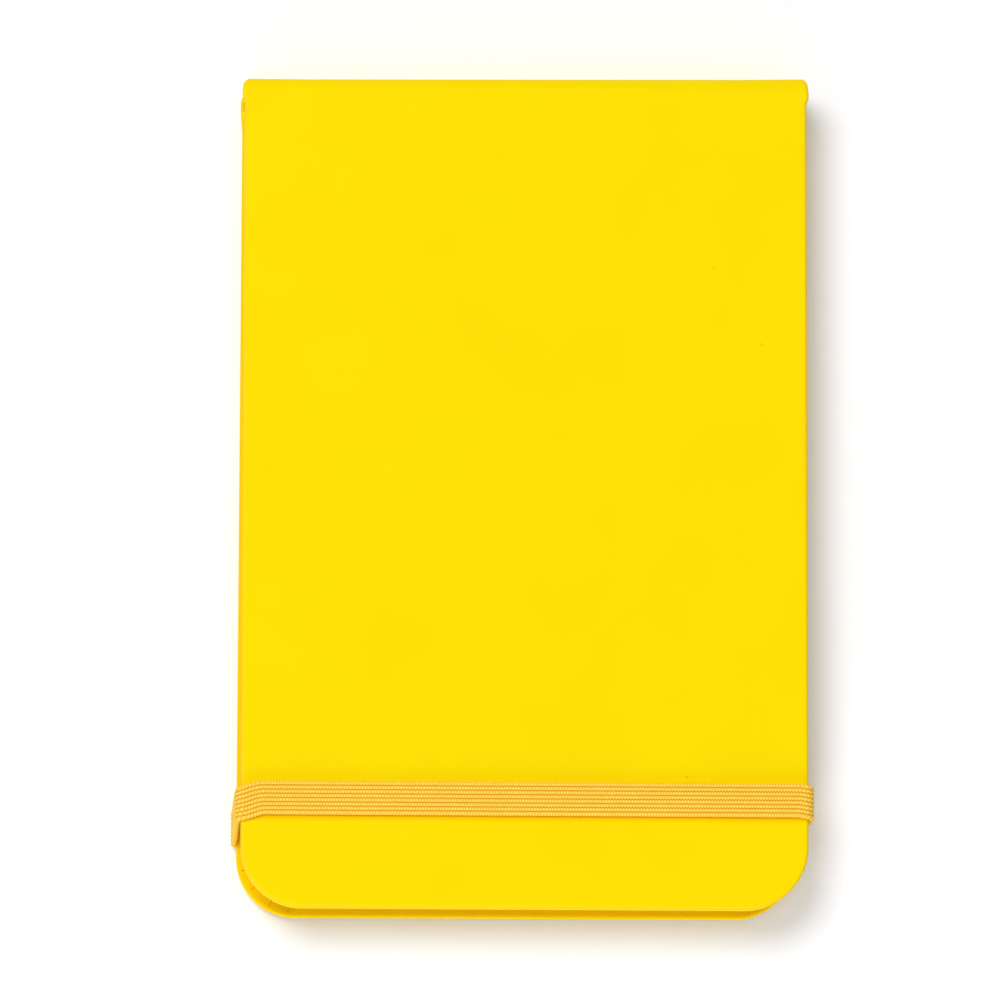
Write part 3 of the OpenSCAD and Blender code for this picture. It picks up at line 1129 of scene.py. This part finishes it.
def leafFinish():
    # the cut edges of the pages, each leaf a little lighter or darker than the next
    finish = Finish("pageEdges", Roughness=0.88)
    finish.set({"Specular IOR Level": 0.15})
    grain = finish.noise(1.0, 2.0, 0.6, paperLook["leafSpread"])
    leaves = finish.ramp(grain, *paperLook["leafRange"])
    finish.set({"Base Color": finish.blendColours(leaves, paperLook["ivory"], paperLook["edge"])})
    finish.bump(finish.noise(1600.0, 4.0), 0.00002, 0.4)
    return finish.material


def boardFinish():
    # grey board with pressed fibres
    finish = Finish("greyBoard", Roughness=0.92)
    flecks = finish.noise(1100.0, 4.0, 0.7, (1, 0.5, 1))
    share = finish.ramp(flecks, *paperLook["fleckRange"])
    finish.set({"Base Color": finish.blendColours(share, paperLook["boardGrey"], paperLook["boardFleck"])})
    finish.bump(flecks, 0.00005, 0.6)
    return finish.material


def clothFinish():
    # open white lining cloth
    finish = Finish("liningCloth", Roughness=0.9)
    bands = {"Vector": finish.place(), "Scale": paperLook["clothBands"]}
    across = finish.add("ShaderNodeTexWave", {"bands_direction": "X"}, bands)
    upright = finish.add("ShaderNodeTexWave", {"bands_direction": "Z"}, bands)
    weave = across * upright
    finish.set({"Base Color": finish.blendColours(weave, paperLook["clothDip"], paperLook["clothThread"])})
    finish.bump(weave, 0.00008, 0.7)
    return finish.material


def dress(piece, material):
    piece.data.materials.clear()
    piece.data.materials.append(material)


print("Mixing the finishes")
yellow = coveringFinish()
orange = strapFinish()
paper = paperFinish("ivoryPaper")
edges = leafFinish()
board = boardFinish()
cloth = clothFinish()
for piece in (backCovering, frontCovering):
    dress(piece, yellow)
dress(elasticStrap, orange)
dress(frontPastedown, paper)
dress(pageLeaves, edges)
dress(backBoard, board)
dress(frontBoard, board)
dress(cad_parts["spine_liner"], board)
for node in ("back_endpaper", "front_flyleaf"):
    dress(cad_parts[node], paper)
dress(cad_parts["spine_lining"], cloth)


# How the pieces move
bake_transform(frontCovering)
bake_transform(frontPastedown)
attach(frontBoard, "front_cover")
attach(backBoard, "pad")
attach(backCovering, "pad")
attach(pageLeaves, "pad")
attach(elasticStrap, "pad")
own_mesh(elasticStrap)
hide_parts("front_covering")
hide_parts("back_board")
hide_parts("front_board")
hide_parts("case_covering")
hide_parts("front_pastedown")
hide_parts("page_block")
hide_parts("elastic_strap")


# Floor, light and camera
studio = {
    "floorSize": 6.0,
    "floorSeen": (0.955, 0.965, 1.0),   # share of the light that the floor shows
    "floorGlow": 0.095,     # added for the camera alone, so that the open floor is white
    "floorLit": 0.85,       # share of the light that the floor throws back at the notebook
    "skyStrength": 0.46,
    "keyPower": 36.0,
    "keyPlace": (-0.72, 0.82, 2.38),
    "keySize": 1.3,
    "fillPower": 15.0,
    "fillPlace": (-0.35, -1.7, 0.4),
    "fillSize": 1.2,
    "cameraPlace": (-0.0469, -0.2754, 1.8),
    "cameraTurn": (8.71, -1.398, 0.175),
    "lens": 10216.8 * 0.036,
}


def addLamp(name, place, size, power):
    # a round soft lamp, aimed at the middle of the notebook
    bpy.ops.object.light_add(type="AREA", location=place)
    lamp = bpy.context.object
    lamp.name = name
    lamp.data.shape = "DISK"
    lamp.data.size = size
    lamp.data.energy = power
    lamp.rotation_euler = (-lamp.location).to_track_quat("-Z", "Y").to_euler()


def buildStudio():
    deselectAll()
    bpy.ops.mesh.primitive_plane_add(size=studio["floorSize"], location=(0, 0, 0))
    floor = bpy.context.object
    floor.name = "floor"
    finish = Finish("paleFloor", Roughness=1.0)
    finish.set({"Specular IOR Level": 0.0})
    seen = finish.add("ShaderNodeLightPath", {}, {}, "Is Camera Ray")
    lit = (studio["floorLit"],) * 3 + (1.0,)
    plain = studio["floorSeen"] + (1.0,)
    glow = (studio["floorGlow"],) * 3 + (1.0,)
    finish.set({
        "Base Color": finish.blendColours(seen, lit, plain),
        "Emission Color": finish.blendColours(seen, (0.0, 0.0, 0.0, 1.0), glow),
        "Emission Strength": 1.0})
    dress(floor, finish.material)
    addLamp("keyLight", studio["keyPlace"], studio["keySize"], studio["keyPower"])
    addLamp("fillLight", studio["fillPlace"], studio["fillSize"], studio["fillPower"])

    world = bpy.data.worlds.new("studioSky")
    bpy.context.scene.world = world
    world.use_nodes = True
    sky = world.node_tree.nodes["Background"]
    sky.inputs["Color"].default_value = (1, 1, 1, 1)
    sky.inputs["Strength"].default_value = studio["skyStrength"]

    bpy.ops.object.camera_add(location=studio["cameraPlace"])
    camera = bpy.context.object
    camera.name = "photoCamera"
    camera.rotation_euler = [math.radians(angle) for angle in studio["cameraTurn"]]
    camera.data.sensor_width = 36
    camera.data.lens = studio["lens"]
    camera.data.clip_start = 0.01
    bpy.context.scene.camera = camera
    bpy.context.scene.view_settings.view_transform = "Standard"


print("Setting the studio")
buildStudio()
